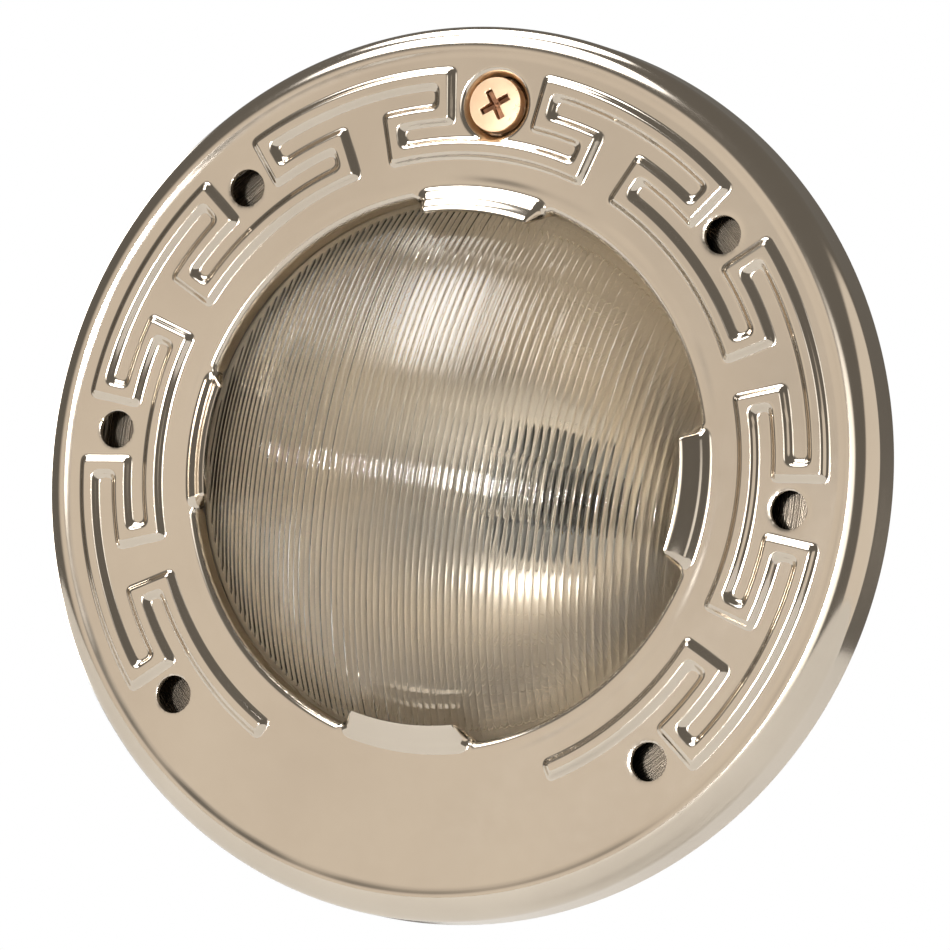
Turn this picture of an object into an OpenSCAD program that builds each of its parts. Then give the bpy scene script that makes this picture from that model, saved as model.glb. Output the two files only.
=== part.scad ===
// Spa-size underwater light: a stamped stainless face ring with a raised
// Greek-key band round a domed glass lens, clamped to a drawn stainless shell
// that holds the reflector, the lamp, its lampholder and the cord gland.
// Millimetres. +Z is up, with the pilot screw at the top. The lens faces -Y.
// The origin is the centre of the face ring's rear rim, which seats on the
// pool wall. Sub-parts are drawn in a face frame, x right, y up and z out of
// the wall, and seated() turns that frame into the part's own.

/* [Face ring] */
// Outside diameter of the face ring
ring_od = 165; // [164:0.5:167]
// Depth from the ring's rear rim to its flat face
ring_depth = 11; // [11:0.1:11.6]
// Thickness of the ring's sheet
ring_sheet = 1.0; // [0.8:0.1:1.0]
// Outside radius of the rolled front edge
ring_corner = 4.75; // [4:0.25:4.75]
// Radius of the circle that holds the pilot screw and the relief holes
hole_circle = 67.2; // [66.8:0.1:67.6]
// Diameter of a relief hole
relief_dia = 7; // [6:0.1:7.4]
// Radius of the opening that the lens stands in
opening_r = 50.3; // [50:0.1:50.6]
// Depth that the opening's rolled lip reaches behind the face
lip_depth = 4.4; // [4:0.1:4.4]

/* [Greek key] */
// Height of the raised key above the face
key_height = 1.2; // [0.8:0.1:1.4]
// Width of the raised key
key_width = 3.0; // [2.6:0.1:3.4]
// Centre-line radius of the key's inner runs
key_inner_r = 58.9; // [58.6:0.1:59]
// Centre-line radius of the key's middle runs
key_middle_r = 65.25; // [65:0.05:65.6]
// Centre-line radius of the key's outer runs
key_outer_r = 72; // [71.6:0.1:72.2]

/* [Cover clips] */
// Radius that a clip's inner edge reaches
clip_inner_r = 47; // [46.5:0.1:47.5]
// Height of a clip's inner edge above the face
clip_rise = 2.7; // [2.2:0.1:3]
// Angle that one clip spans, in degrees
clip_span = 27; // [24:1:30]

/* [Lens] */
// Radius of the dome's outer sphere
dome_r = 67; // [66:0.5:69]
// Thickness of the glass
glass_t = 4.0; // [3.5:0.1:4.2]
// Radius of the lens flange
flange_r = 56; // [55.5:0.1:56.2]

/* [Shell] */
// Outside radius of the shell's body
shell_r = 52; // [51.5:0.1:52]
// Distance from the ring's rear rim to the shell's rear wall
shell_depth = 92; // [92:1:96]
// Thickness of the shell's sheet
shell_sheet = 0.8; // [0.7:0.1:0.9]
// Radius of the shell's rear corner
shell_corner = 14; // [12:1:15]

/* [Pilot screw] */
// Diameter of the screw's head
head_dia = 11; // [10:0.1:11.2]
// Diameter of the screw's thread
pilot_dia = 5.4; // [5.2:0.1:5.5]
// Distance that the screw's end reaches behind the ring's rear rim
pilot_reach = 16; // [15:1:18]

/* [Cord gland] */
// Radius of the grommet's bore
cord_r = 5.0; // [4.6:0.1:5.1]
// Distance of the gland below the centre
gland_drop = 24; // [24:0.5:25]

/* [Hidden] */

$fn = 96;
eps = 0.01;
hex = 6;

// Face ring, levels along z
ring_r = ring_od / 2;
face_z = ring_depth;
face_back = face_z - ring_sheet;
lip_roll = 1.4;
lip_z = face_z - lip_depth;
relief_angles = [45, 90, 135, 225, 270, 315];
clip_angles = [0, 90, 180, 270];
clip_gap = 4;
clip_foot_r = opening_r + 1.8;
pocket_r = 6.4;
pocket_depth = 2.6;
pocket_floor = face_z - pocket_depth;
pilot_hole_r = 3.1;

// Greek key, angles clockwise from the pilot screw
key_angles = [-135, -90, -45, 0, 45, 90, 135];
key_step_out = 17.6;
key_step_in = 5.9;
key_step_pilot = 8.5;
key_free_end = 14.6;

// Lens, gasket and the flanges that the clamp draws together
dome_edge_z = 6.0;
dome_centre = dome_edge_z - sqrt(dome_r * dome_r - pow(opening_r - 0.3, 2));
flange_front = 5.2;
flange_back = 1.8;
gasket_r = 57.9;
gasket_inner_r = 50.8;
reflector_seat = -0.2;
shell_front = -1.0;
seat_sheet = 1.0;
seat_flange_r = 61.2;
seat_weld_r = 60.4;
baffle_r = 77;
baffle_z = 4.2;
baffle_bead_r = 72.6;
shell_flange_t = 1.2;

// Niche hook, a bent strip below the lens
hook_w = 18;
hook_t = 1.2;
hook_leg_in = 70;

// Clamp band
band_angle = 292.5;
band_half_gap = 5.5;
band_r = 62.6;
band_sheet = 1.1;
band_z = shell_front - 0.1;
lug_r = 69;
lug_x = 9;
lug_half = 4.2;
barrel_r = 4.05;
loop_r = 4.9;
clamp_screw_r = 2.4;
running = 0.05;

// Pilot screw
pilot_r = pilot_dia / 2;
pilot_shank_r = 2.35;
pilot_thread = 10;
pilot_head_r = head_dia / 2 - 0.4;
pilot_head_base = pocket_floor + 0.1;
pilot_travel = 8;
gum_r = 4.2;
gum_t = 2.5;
recess_turn = 34;
gum_front = pocket_floor - ring_sheet - pilot_travel - 0.3;

// Lamp and lampholder, levels along z
rear_in = -shell_depth + shell_sheet;
socket_front = -50;
socket_back = -78;
socket_r = 14.5;
plate_t = 1.2;
socket_hole_x = 10.5;
lead_r = 1.3;
lead_hole_x = 4;
bracket_x = 17;
stud_x = 24;
stud_r = 2;
stud_nut_r = 4;
envelope_r = 6.5;
envelope_wall = 0.9;
envelope_foot = -46;
envelope_shoulder = -14;
base_r = 5.5;
base_foot = -68;

// Cord gland, distances behind the rear wall's outer face
gland_stem_r = 7.9;
gland_flange_t = 5;
gland_thread_r = 9;
gland_length = 14;
grommet_r = 7.35;
grommet_length = 8.3;
gland_hex_r = 12;
oring_r = 9.75;
oring_section = 1;
slip_gap = 0.3;
slip_t = 1.4;
nut_wall = 2.7;

// Bonding lug, to the right of its stud above the centre
bond_y = 26;
bond_hole_r = 2.2;
bond_block_x = 14;
bond_tongue_t = 2.5;
bond_block_h = 10;
bond_hole_depth = 5.2;

// Ground stud on the shell's rear wall
ground_x = 24;
ground_y = 14;

// Routes of the internal leads, in the face frame
black_route = [[4, 0, -74], [4, 0, -77.5], [4, 0, -80.5], [6, -5, -85],
  [12, -13, -85], [17, -21, -79], [18, -24, -72], [18, -24, -66]];
white_route = [[-4, 0, -74], [-4, 0, -77.5], [-4, 0, -80.5], [-6, -5, -85],
  [-12, -13, -85], [-17, -21, -79], [-18, -24, -72], [-18, -24, -66]];
green_route = [[30.5, 14, -89.1], [36, 14, -89.1], [39.5, 10, -87.5], [39, 1, -84],
  [32, -14, -80], [18, -30, -79], [6, -37, -76], [2, -38, -71], [2, -38, -66]];
splice_places = [[18, -24], [-18, -24], [2, -38]];
splice_front = -58;
splice_length = 10;
splice_r = 2.6;

// Turns the face frame into the part's frame
module seated() {
  rotate([90, 0, 0]) children();
}

// Places children at an angle clockwise from the top and a radius
module at(angle, radius) {
  rotate([0, 0, -angle]) translate([0, radius, 0]) children();
}

// A tube between two levels
module tube(outer, inner, low, high) {
  translate([0, 0, low]) difference() {
    cylinder(h = high - low, r = outer);
    translate([0, 0, -1]) cylinder(h = high - low + 2, r = inner);
  }
}

// A solid round bar between two levels
module bar(radius, low, high) {
  translate([0, 0, low]) cylinder(h = high - low, r = radius);
}

// A hexagonal nut between two levels
module hex_nut(outer, bore, low, high) {
  difference() {
    translate([0, 0, low]) cylinder(h = high - low, r = outer, $fn = hex);
    bar(bore, low - 1, high + 1);
  }
}

// A quarter of a rolled edge's section, with its centre at the origin
module quarter_bend(outer, inner) {
  intersection() {
    difference() {
      circle(r = outer);
      circle(r = inner);
    }
    square(outer + 1);
  }
}

// --- Face ring ---

module ring_section() {
  roll_r = ring_r - ring_corner;
  translate([clip_foot_r, face_back]) square([roll_r - clip_foot_r, ring_sheet]);
  translate([roll_r, face_z - ring_corner]) quarter_bend(ring_corner, ring_corner - ring_sheet);
  translate([ring_r - ring_sheet, 0]) square([ring_sheet, ring_depth - ring_corner]);
}

module lip_section() {
  bend_r = opening_r + lip_roll;
  translate([bend_r, face_z - lip_roll]) mirror([1, 0]) quarter_bend(lip_roll, lip_roll - ring_sheet);
  translate([bend_r, face_back]) square([clip_foot_r - bend_r + eps, ring_sheet]);
  translate([opening_r, lip_z]) square([ring_sheet, lip_depth - lip_roll]);
}

// The lip between two clips, starting clockwise of the clip at this angle
module lip_run(angle) {
  span = 90 - clip_span - clip_gap;
  rotate([0, 0, (clip_span + clip_gap) / 2 - angle])
    rotate_extrude(angle = span) lip_section();
}

module clip_section() {
  crown_z = face_z + clip_rise;
  edge_drop = 0.9;
  edge_in = 0.4;
  bend = 0.3;
  lap = 0.1;
  polygon([[clip_foot_r + lap, face_back], [clip_foot_r + lap, face_z], [clip_foot_r - bend, face_z],
    [clip_inner_r, crown_z], [clip_inner_r - edge_in, crown_z - edge_drop],
    [clip_foot_r - 2 * edge_in, face_back]]);
}

module cover_clip(angle) {
  rotate([0, 0, 90 - angle - clip_span / 2]) rotate_extrude(angle = clip_span) clip_section();
}

module key_arc(radius, start, stop, width, low, high) {
  rotate([0, 0, 90 - stop]) rotate_extrude(angle = stop - start)
    translate([radius - width / 2, low]) square([width, high - low]);
}

module key_riser(angle, inner, outer, width, low, high) {
  lap = width / 2 + 0.2;
  at(angle, inner - lap) translate([-width / 2, 0, low])
    cube([width, outer - inner + 2 * lap, high - low]);
}

// One side of a unit: out from the inner run, along the middle run, out to the outer run
module key_side(hole, side, step, width, low, high) {
  far = hole + side * key_step_out;
  near = hole + side * step;
  key_riser(far, key_inner_r, key_middle_r, width, low, high);
  key_arc(key_middle_r, min(far, near), max(far, near), width, low, high);
  key_riser(near, key_middle_r, key_outer_r, width, low, high);
}

function key_step(hole) = hole == 0 ? key_step_pilot : key_step_in;

module key_pattern(width, low, high) {
  last = len(key_angles) - 1;
  for (i = [0:last]) {
    hole = key_angles[i];
    start = i == 0 ? key_free_end : key_step_out;
    stop = i == last ? key_free_end : key_step_out;
    key_arc(key_inner_r, hole - start, hole + stop, width, low, high);
    if (i > 0)
      key_side(hole, -1, key_step(hole), width, low, high);
    if (i < last)
      key_side(hole, 1, key_step(hole), width, low, high);
    if (i < last)
      key_arc(key_outer_r, hole + key_step(hole), key_angles[i + 1] - key_step(key_angles[i + 1]),
        width, low, high);
  }
}

module face_ring() {
  color("#c9b79f") seated() {
    difference() {
      union() {
        rotate_extrude() ring_section();
        key_pattern(key_width, face_z - 0.2, face_z + key_height);
        at(0, hole_circle) bar(pocket_r, pocket_floor - ring_sheet, face_back);
      }
      for (a = relief_angles)
        at(a, hole_circle) bar(relief_dia / 2, face_back - 1, face_z + 2);
      at(0, hole_circle) bar(pocket_r - ring_sheet, pocket_floor, face_z + 2);
      at(0, hole_circle) bar(pilot_hole_r, pocket_floor - 5, face_z);
    }
    for (a = clip_angles)
      lip_run(a);
    for (a = clip_angles)
      cover_clip(a);
  }
}

// The wide spun flange of the collar, which lies behind the relief holes
module baffle() {
  bead = 0.6;
  front = baffle_z + seat_sheet;
  gap = 0.5;
  difference() {
    union() {
      tube(baffle_r, gasket_r + seat_sheet - eps, baffle_z, front);
      rotate_extrude() translate([baffle_bead_r, front - bead / 3]) circle(r = bead, $fn = 48);
    }
    at(0, hole_circle) bar(gum_r + gap, baffle_z - 1, front + 1);
    at(180, 0) translate([-hook_w / 2 - gap, hook_leg_in - gap, baffle_z - 1])
      cube([hook_w + 2 * gap, hook_t + 2 * gap, seat_sheet + 2]);
  }
}

module seat_ring() {
  wall_r = gasket_r + seat_sheet;
  color("#b8ab9a") seated() {
    tube(seat_weld_r, gasket_r, face_back - seat_sheet, face_back);
    tube(wall_r, gasket_r, shell_front, face_back - seat_sheet);
    tube(seat_flange_r, wall_r - eps, shell_front, shell_front + seat_sheet);
    baffle();
  }
}

module niche_hook() {
  foot_in = 66;
  foot_out = 77.5;
  tip_out = 77;
  tip_z = -12;
  leg_low = tip_z - hook_t;
  color("#b8ab9a") seated() at(180, 0) {
    translate([-hook_w / 2, foot_in, face_back - hook_t]) cube([hook_w, foot_out - foot_in, hook_t]);
    translate([-hook_w / 2, hook_leg_in, leg_low]) cube([hook_w, hook_t, face_back - leg_low]);
    translate([-hook_w / 2, hook_leg_in, leg_low]) cube([hook_w, tip_out - hook_leg_in, hook_t]);
  }
}

// --- Pilot screw ---

module cross_recess(width, length, depth, top) {
  for (turn = [0, 90])
    rotate([0, 0, turn]) translate([-length / 2, -width / 2, top - depth]) cube([length, width, depth + 1]);
}

module pilot_screw() {
  head_top = face_z + 0.1;
  edge = 0.8;
  color("#c88a5c") seated() at(0, hole_circle) difference() {
    union() {
      bar(pilot_head_r, pilot_head_base, head_top - edge);
      translate([0, 0, head_top - edge]) cylinder(h = edge, r1 = pilot_head_r, r2 = pilot_head_r - edge);
      bar(pilot_shank_r, -pilot_reach + 1, pilot_head_base + eps);
      bar(pilot_r, -pilot_reach, -pilot_reach + pilot_thread);
    }
    rotate([0, 0, recess_turn]) cross_recess(1.3, 5.6, 1.8, head_top);
  }
}

module gum_washer() {
  color("#2b2b2b") seated() at(0, hole_circle)
    tube(gum_r, pilot_shank_r + running, gum_front - gum_t, gum_front);
}

// --- Lens and seal ---

module lens() {
  glass_in = dome_r - glass_t;
  bore_r = sqrt(pow(glass_in, 2) - pow(flange_back - dome_centre, 2));
  color("#cfd3c8", 0.45) seated() {
    difference() {
      translate([0, 0, dome_centre]) sphere(r = dome_r);
      translate([0, 0, dome_centre]) sphere(r = glass_in);
      translate([0, 0, dome_edge_z - 2 * dome_r - 1]) cylinder(h = 2 * dome_r, r = 2 * dome_r);
    }
    tube(flange_r, bore_r, flange_back, flange_front);
  }
}

module gasket_section() {
  translate([gasket_inner_r, flange_front]) square([gasket_r - gasket_inner_r, lip_z - flange_front]);
  translate([flange_r, flange_back]) square([gasket_r - flange_r, flange_front - flange_back]);
  translate([gasket_inner_r + 2, reflector_seat])
    square([gasket_r - gasket_inner_r - 2, flange_back - reflector_seat]);
}

module lens_gasket() {
  color("#5d5a52") seated() rotate_extrude() gasket_section();
}

// --- Shell ---

module shell_section() {
  outer_z = -shell_depth;
  bend_z = outer_z + shell_corner;
  bend_r = shell_r - shell_corner;
  translate([shell_r - shell_sheet, shell_front - shell_flange_t])
    square([seat_flange_r - shell_r + shell_sheet, shell_flange_t]);
  translate([shell_r - shell_sheet, bend_z]) square([shell_sheet, shell_front - bend_z]);
  translate([bend_r, bend_z]) mirror([0, 1]) quarter_bend(shell_corner, shell_corner - shell_sheet);
  translate([0, outer_z]) square([bend_r, shell_sheet]);
}

module shell() {
  color("#b5aa9c") seated() difference() {
    rotate_extrude() shell_section();
    translate([0, -gland_drop, 0]) bar(gland_stem_r + 0.1, -shell_depth - 1, rear_in + 1);
  }
}

// --- Clamp band ---

module band_section() {
  inner_r = 59.7;
  wall_r = band_r - band_sheet;
  polygon([[inner_r, 1.7], [wall_r, 0.2], [wall_r, -2.4], [inner_r, -3.9], [inner_r, -5.1],
    [band_r, -3.4], [band_r, 1.2], [inner_r, 2.9]]);
}

// Frame of the band's lugs: x runs clockwise along the band, y outwards
module at_lugs() {
  seated() at(band_angle, 0) translate([0, 0, band_z]) children();
}

module band_loop(side) {
  stem_low = band_r - 1.7;
  stem_high = lug_r - barrel_r - 0.4;
  stem_half = 2.2;
  translate([side * lug_x, lug_r, 0]) tube(loop_r, barrel_r + running, -lug_half, lug_half);
  translate([side > 0 ? lug_x : -lug_x - loop_r, stem_low, -stem_half])
    cube([loop_r, stem_high - stem_low, 2 * stem_half]);
}

module clamp_band() {
  color("#c2b8aa") {
    seated() rotate([0, 0, 90 - band_angle + band_half_gap])
      rotate_extrude(angle = 360 - 2 * band_half_gap) band_section();
    at_lugs() difference() {
      for (side = [-1, 1])
        band_loop(side);
      translate([-2 * lug_x, lug_r, 0]) rotate([0, 90, 0]) cylinder(h = 4 * lug_x, r = clamp_screw_r + 0.6);
    }
  }
}

module trunnion(side, bore) {
  at_lugs() difference() {
    translate([side * lug_x, lug_r, 0]) bar(barrel_r, -lug_half - 0.5, lug_half + 0.5);
    translate([-2 * lug_x, lug_r, 0]) rotate([0, 90, 0]) cylinder(h = 4 * lug_x, r = bore);
  }
}

module plain_trunnion() {
  color("#a89f92") trunnion(1, clamp_screw_r + 0.3);
}

module threaded_trunnion() {
  color("#a89f92") trunnion(-1, clamp_screw_r + running);
}

// Frame of the clamp screw: z runs along the screw towards its head
module at_clamp_screw() {
  at_lugs() translate([0, lug_r, 0]) rotate([0, 90, 0]) children();
}

module clamp_washer() {
  start = lug_x + loop_r + 0.3;
  color("#c2b8aa") at_clamp_screw() tube(4.6, clamp_screw_r + running, start, start + 1);
}

module clamp_screw() {
  head_start = lug_x + loop_r + 1.4;
  head_end = head_start + 5;
  color("#8d867c") at_clamp_screw() difference() {
    union() {
      bar(clamp_screw_r, -22, head_start + eps);
      bar(4.2, head_start, head_end);
    }
    translate([0, 0, head_end - 2.6]) cylinder(h = 4, r = 2.3, $fn = hex);
  }
}

// --- Reflector and lamp ---

function bowl_z(r) = -38 + 37 * pow((r - 13) / 36, 1.7);

module reflector() {
  bowl_steps = 12;
  bowl_t = 0.8;
  rim_r = 49;
  radii = [for (i = [0:bowl_steps]) 13 + (rim_r - 13) * i / bowl_steps];
  upper = [for (r = radii) [r, bowl_z(r) + bowl_t]];
  lower = [for (i = [bowl_steps:-1:0]) [radii[i], bowl_z(radii[i])]];
  color("#d9d7d0") seated() {
    rotate_extrude() polygon(concat(upper, lower));
    tube(56, rim_r - 0.1, shell_front, reflector_seat);
  }
}

module lamp_envelope() {
  inner_r = envelope_r - envelope_wall;
  color("#e8eef0", 0.4) seated() {
    difference() {
      union() {
        bar(envelope_r, envelope_foot, envelope_shoulder);
        translate([0, 0, envelope_shoulder]) sphere(r = envelope_r);
      }
      bar(inner_r, envelope_foot + 2, envelope_shoulder);
      translate([0, 0, envelope_shoulder]) sphere(r = inner_r);
    }
    bar(4.8, envelope_foot - 10, envelope_foot + eps);
  }
}

module lamp_filament() {
  coil_low = -33;
  coil_high = -20;
  turns = 9;
  wire_x = 2.2;
  color("#6b6660") seated() {
    bar(0.5, coil_low, coil_high);
    for (i = [0:turns])
      translate([0, 0, coil_low + (coil_high - coil_low) * i / turns])
        rotate_extrude($fn = 48) translate([0.9, 0]) circle(r = 0.45, $fn = 24);
    for (side = [-1, 1])
      translate([side * wire_x, 0, 0]) bar(0.35, envelope_foot + 2, side > 0 ? coil_high : coil_low);
    for (side = [-1, 1])
      translate([side > 0 ? 0 : -wire_x, 0, side > 0 ? coil_high : coil_low])
        rotate([0, 90, 0]) cylinder(h = wire_x, r = 0.35);
  }
}

module lamp_base() {
  pitch = 2.2;
  color("#c9c2b2") seated() {
    tube(base_r, base_r - 0.5, base_foot, envelope_foot);
    for (i = [0:6])
      translate([0, 0, base_foot + 2 + pitch * i])
        rotate_extrude() translate([base_r - 0.1, 0]) circle(r = 0.35, $fn = 24);
  }
}

module lamp_insulator() {
  color("#3a3436") seated() bar(base_r - 0.5, base_foot - 0.4, base_foot + 4);
}

module lamp_contact() {
  color("#b98a4a") seated() bar(2, base_foot - 1.2, base_foot - 0.4);
}

// --- Lampholder ---

module socket_body() {
  color("#efece4") seated() difference() {
    bar(socket_r, socket_back, socket_front);
    bar(6.4, socket_back + 6, socket_front + 1);
    for (side = [-1, 1])
      translate([side * socket_hole_x, 0, 0]) bar(1.8, socket_back - 1, socket_front + 1);
    for (side = [-1, 1])
      translate([side * socket_hole_x, 0, 0]) bar(3.2, socket_front - 3, socket_front + 1);
    for (side = [-1, 1])
      translate([side * lead_hole_x, 0, 0]) bar(lead_r + 0.3, socket_back - 1, socket_back + 7);
  }
}

module socket_liner() {
  color("#c69a52") seated() tube(6.35, 6.0, socket_back + 7, socket_front - 1);
}

module socket_contact() {
  color("#c69a52") seated() {
    bar(2.2, socket_back + 6, base_foot - 1.5);
    translate([-2.2, -1.5, socket_back + 6]) cube([4.4, 3, 0.8]);
  }
}

module socket_bracket() {
  half_w = 8;
  plate_low = socket_back - plate_t;
  foot = 13;
  color("#b9b4aa") seated() difference() {
    union() {
      translate([-bracket_x, -half_w, plate_low]) cube([2 * bracket_x, 2 * half_w, plate_t]);
      for (side = [0, 180])
        rotate([0, 0, side]) {
          translate([bracket_x - plate_t, -half_w, rear_in])
            cube([plate_t, 2 * half_w, socket_back - rear_in]);
          translate([bracket_x - plate_t, -half_w, rear_in]) cube([foot + plate_t, 2 * half_w, plate_t]);
        }
    }
    for (side = [-1, 1])
      translate([side * socket_hole_x, 0, 0]) bar(1.8, plate_low - 1, socket_back + 1);
    for (side = [-1, 1])
      translate([side * lead_hole_x, 0, 0]) bar(lead_r + 0.8, plate_low - 1, socket_back + 1);
    for (side = [-1, 1])
      translate([side * stud_x, 0, 0]) bar(stud_r + 0.1, rear_in - 1, rear_in + 3);
  }
}

module socket_screws() {
  color("#b9b4aa") seated() for (side = [-1, 1])
    translate([side * socket_hole_x, 0, 0]) difference() {
      union() {
        bar(3.1, socket_front - 3, socket_front - 0.8);
        bar(1.6, socket_back - plate_t - 4.5, socket_front - 3 + eps);
      }
      translate([-4, -0.4, socket_front - 1.8]) cube([8, 0.8, 2]);
    }
}

module socket_nuts() {
  plate_low = socket_back - plate_t;
  color("#b9b4aa") seated() for (side = [-1, 1])
    translate([side * socket_hole_x, 0, 0]) hex_nut(3.2, 1.6, plate_low - 2.6, plate_low);
}

module bracket_studs() {
  color("#b9b4aa") seated() for (side = [-1, 1])
    translate([side * stud_x, 0, 0]) bar(stud_r, rear_in, rear_in + 7);
}

module bracket_nuts() {
  color("#b9b4aa") seated() for (side = [-1, 1])
    translate([side * stud_x, 0, 0]) hex_nut(stud_nut_r, stud_r, rear_in + plate_t, rear_in + plate_t + 3);
}

// --- Internal leads ---

// Point on a Catmull-Rom curve through b and c
function curve_point(a, b, c, d, t) =
  0.5 * (2 * b + (c - a) * t + (2 * a - 5 * b + 4 * c - d) * t * t + (3 * b - a - 3 * c + d) * t * t * t);

function smooth_route(p, n) = concat(
  [for (i = [0:len(p) - 2]) for (k = [0:n - 1])
    curve_point(p[max(i - 1, 0)], p[i], p[i + 1], p[min(i + 2, len(p) - 1)], k / n)],
  [p[len(p) - 1]]);

function unit(v) = v / norm(v);

function heading(q, i) = unit(q[min(i + 1, len(q) - 1)] - q[max(i - 1, 0)]);

// A round lead swept along a smoothed route
module lead(points) {
  sides = 8;
  steps = 5;
  guide = unit([0.9, 0.3, 0.1]);
  q = smooth_route(points, steps);
  last = len(q) - 1;
  across = [for (i = [0:last]) unit(cross(heading(q, i), guide))];
  up = [for (i = [0:last]) cross(heading(q, i), across[i])];
  rings = [for (i = [0:last]) for (k = [0:sides - 1])
    q[i] + lead_r * (cos(360 * k / sides) * across[i] + sin(360 * k / sides) * up[i])];
  walls = [for (i = [0:last - 1]) for (k = [0:sides - 1]) for (half = [0, 1])
    let (a = i * sides + k, b = i * sides + (k + 1) % sides)
      half == 0 ? [a, a + sides, b + sides] : [a, b + sides, b]];
  start_cap = [for (k = [0:sides - 1]) k];
  end_cap = [for (k = [sides - 1:-1:0]) last * sides + k];
  seated() polyhedron(points = rings, faces = concat(walls, [start_cap], [end_cap]), convexity = 6);
}

module black_lead() {
  color("#1f1f20") lead(black_route);
}

module white_lead() {
  color("#e6e3da") lead(white_route);
}

module green_lead() {
  color("#2f7a46") lead(green_route);
}

module splice_caps() {
  color("#8a8577") seated() for (place = splice_places)
    translate([place[0], place[1], 0]) difference() {
      union() {
        bar(splice_r, splice_front - splice_length, splice_front - splice_r);
        translate([0, 0, splice_front - splice_r]) sphere(r = splice_r, $fn = 48);
      }
      bar(lead_r + 0.2, splice_front - splice_length - 1, splice_front - splice_length + 4);
    }
}

// --- Ground connection ---

module ground_stud() {
  color("#b9b4aa") seated() translate([ground_x, ground_y, 0]) bar(stud_r, rear_in, rear_in + 9);
}

module ring_terminal() {
  barrel_outer = 2.1;
  color("#d0cbbf") seated() translate([ground_x, ground_y, 0]) {
    tube(4.5, stud_r + 0.1, rear_in, rear_in + 0.8);
    translate([5, 0, rear_in + barrel_outer]) rotate([0, 90, 0]) tube(barrel_outer, lead_r + 0.35, 0, 5);
    translate([4, -1.4, rear_in]) cube([2.4, 2.8, 0.45]);
  }
}

module ground_nut() {
  color("#3f7f4f") seated() translate([ground_x, ground_y, 0])
    hex_nut(stud_nut_r, stud_r, rear_in + 0.8, rear_in + 3.8);
}

// --- Cord gland ---

// Frame of the gland: z runs out of the rear wall
module at_gland() {
  seated() translate([0, -gland_drop, -shell_depth]) rotate([180, 0, 0]) children();
}

module gland_body() {
  groove_depth = 2 * oring_section;
  color("#b8904a") at_gland() difference() {
    union() {
      cylinder(h = gland_flange_t, r = gland_hex_r, $fn = hex);
      bar(gland_thread_r, gland_flange_t - eps, gland_length);
      bar(gland_stem_r, -8, eps);
    }
    bar(cord_r + 0.2, -9, gland_length + 1);
    bar(grommet_r + 0.05, gland_length + 0.3 - grommet_length, gland_length + 1);
    tube(oring_r + 1.05, oring_r - 1.05, -1, groove_depth);
  }
}

module gland_oring() {
  color("#232323") at_gland() translate([0, 0, oring_section]) rotate_extrude()
    translate([oring_r, 0]) circle(r = oring_section, $fn = 48);
}

module gland_locknut() {
  color("#b8904a") at_gland() hex_nut(11, gland_stem_r, -shell_sheet - 3.5, -shell_sheet);
}

module gland_grommet() {
  grommet_end = gland_length + 0.3;
  color("#262626") at_gland() tube(grommet_r, cord_r, grommet_end - grommet_length, grommet_end);
}

module slip_ring() {
  start = gland_length + 0.3 + slip_gap;
  color("#c9a45c") at_gland() tube(grommet_r - 0.25, cord_r + 0.4, start, start + slip_t);
}

module gland_nut() {
  bore_end = gland_length + 0.3 + slip_gap + slip_t + 0.3;
  nut_start = gland_flange_t + 2.5;
  nut_end = bore_end + nut_wall;
  color("#b8904a") at_gland() difference() {
    translate([0, 0, nut_start]) cylinder(h = nut_end - nut_start, r = gland_hex_r + 0.5, $fn = hex);
    bar(gland_thread_r + running, nut_start - 1, bore_end);
    bar(cord_r + 0.6, nut_start, nut_end + 1);
  }
}

// --- Bonding lug ---

// Frame of the lug's stud: z runs out of the rear wall
module at_bond() {
  seated() translate([0, bond_y, -shell_depth]) mirror([0, 0, 1]) children();
}

module bond_stud() {
  color("#b9b4aa") at_bond() bar(2.4, 0, 10);
}

module bond_lug() {
  half = 6;
  color("#b37a4a") at_bond() difference() {
    union() {
      translate([-half, -half, 0]) cube([bond_block_x + 2 * half, 2 * half, bond_tongue_t]);
      translate([bond_block_x - half, -half, 0]) cube([2 * half, 2 * half, bond_block_h]);
    }
    bar(2.5, -1, bond_tongue_t + 1);
    translate([bond_block_x, half + 1, bond_hole_depth]) rotate([90, 0, 0])
      cylinder(h = 2 * half + 2, r = bond_hole_r);
    translate([bond_block_x, 0, 0]) bar(2.45, bond_hole_depth, bond_block_h + 1);
  }
}

module bond_nut() {
  color("#b9b4aa") at_bond() hex_nut(4.6, 2.4, bond_tongue_t, bond_tongue_t + 3.6);
}

module bond_set_screw() {
  tip = bond_hole_depth + bond_hole_r + 0.2;
  top = tip + 5.4;
  color("#b9b4aa") at_bond() translate([bond_block_x, 0, 0]) difference() {
    bar(2.4, tip, top);
    translate([-3, -0.4, top - 1]) cube([6, 0.8, 2]);
  }
}

face_ring();
seat_ring();
niche_hook();
pilot_screw();
gum_washer();
lens();
lens_gasket();
shell();
clamp_band();
plain_trunnion();
threaded_trunnion();
clamp_washer();
clamp_screw();
reflector();
lamp_envelope();
lamp_filament();
lamp_base();
lamp_insulator();
lamp_contact();
socket_body();
socket_liner();
socket_contact();
socket_bracket();
socket_screws();
socket_nuts();
bracket_studs();
bracket_nuts();
black_lead();
white_lead();
green_lead();
splice_caps();
ground_stud();
ring_terminal();
ground_nut();
gland_body();
gland_oring();
gland_locknut();
gland_grommet();
slip_ring();
gland_nut();
bond_stud();
bond_lug();
bond_nut();
bond_set_screw();
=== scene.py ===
"""Looks of a spa-size underwater light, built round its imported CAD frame.

The CAD's own frame is in metres: +Z is up, the lens faces -Y, and the origin is
the centre of the face ring's rear rim. Shapes are drawn in a face frame in
millimetres, x right, y up and z out of the wall. placed() turns the second
into the first.
"""

import math

import bmesh
import bpy
import numpy as np
from mathutils import Matrix, Vector


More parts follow.
